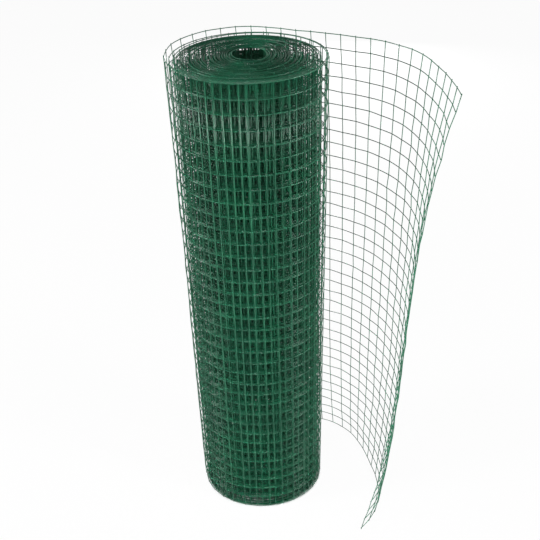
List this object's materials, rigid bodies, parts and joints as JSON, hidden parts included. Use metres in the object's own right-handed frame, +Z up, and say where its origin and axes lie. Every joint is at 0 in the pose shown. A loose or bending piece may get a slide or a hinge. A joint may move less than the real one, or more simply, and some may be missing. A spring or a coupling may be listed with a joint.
{
  "type": "roll of welded wire fencing",
  "caption": "Upright roll of green plastic-coated welded square wire mesh with an open bore, its outer end sprung loose into a curved see-through tail.",
  "frame": {"origin": "middle of the bore, on the floor that the roll stands on", "axes": "+Z up along the bore, +Y to the rear where the loose end swings off the roll, +X to the side where the tail stands out"},
  "size_m": [0.4209, 0.3108, 0.9014],
  "materials": {
    "coated_wire": "green PVC coating, drawn smooth over galvanised steel wire"
  },
  "bodies": {
    "root": {"wound_roll": "coated_wire", "tail_mesh_1": "coated_wire", "tail_mesh_2": "coated_wire", "tail_mesh_3": "coated_wire", "tail_mesh_4": "coated_wire"}
  },
  "joints": []
}
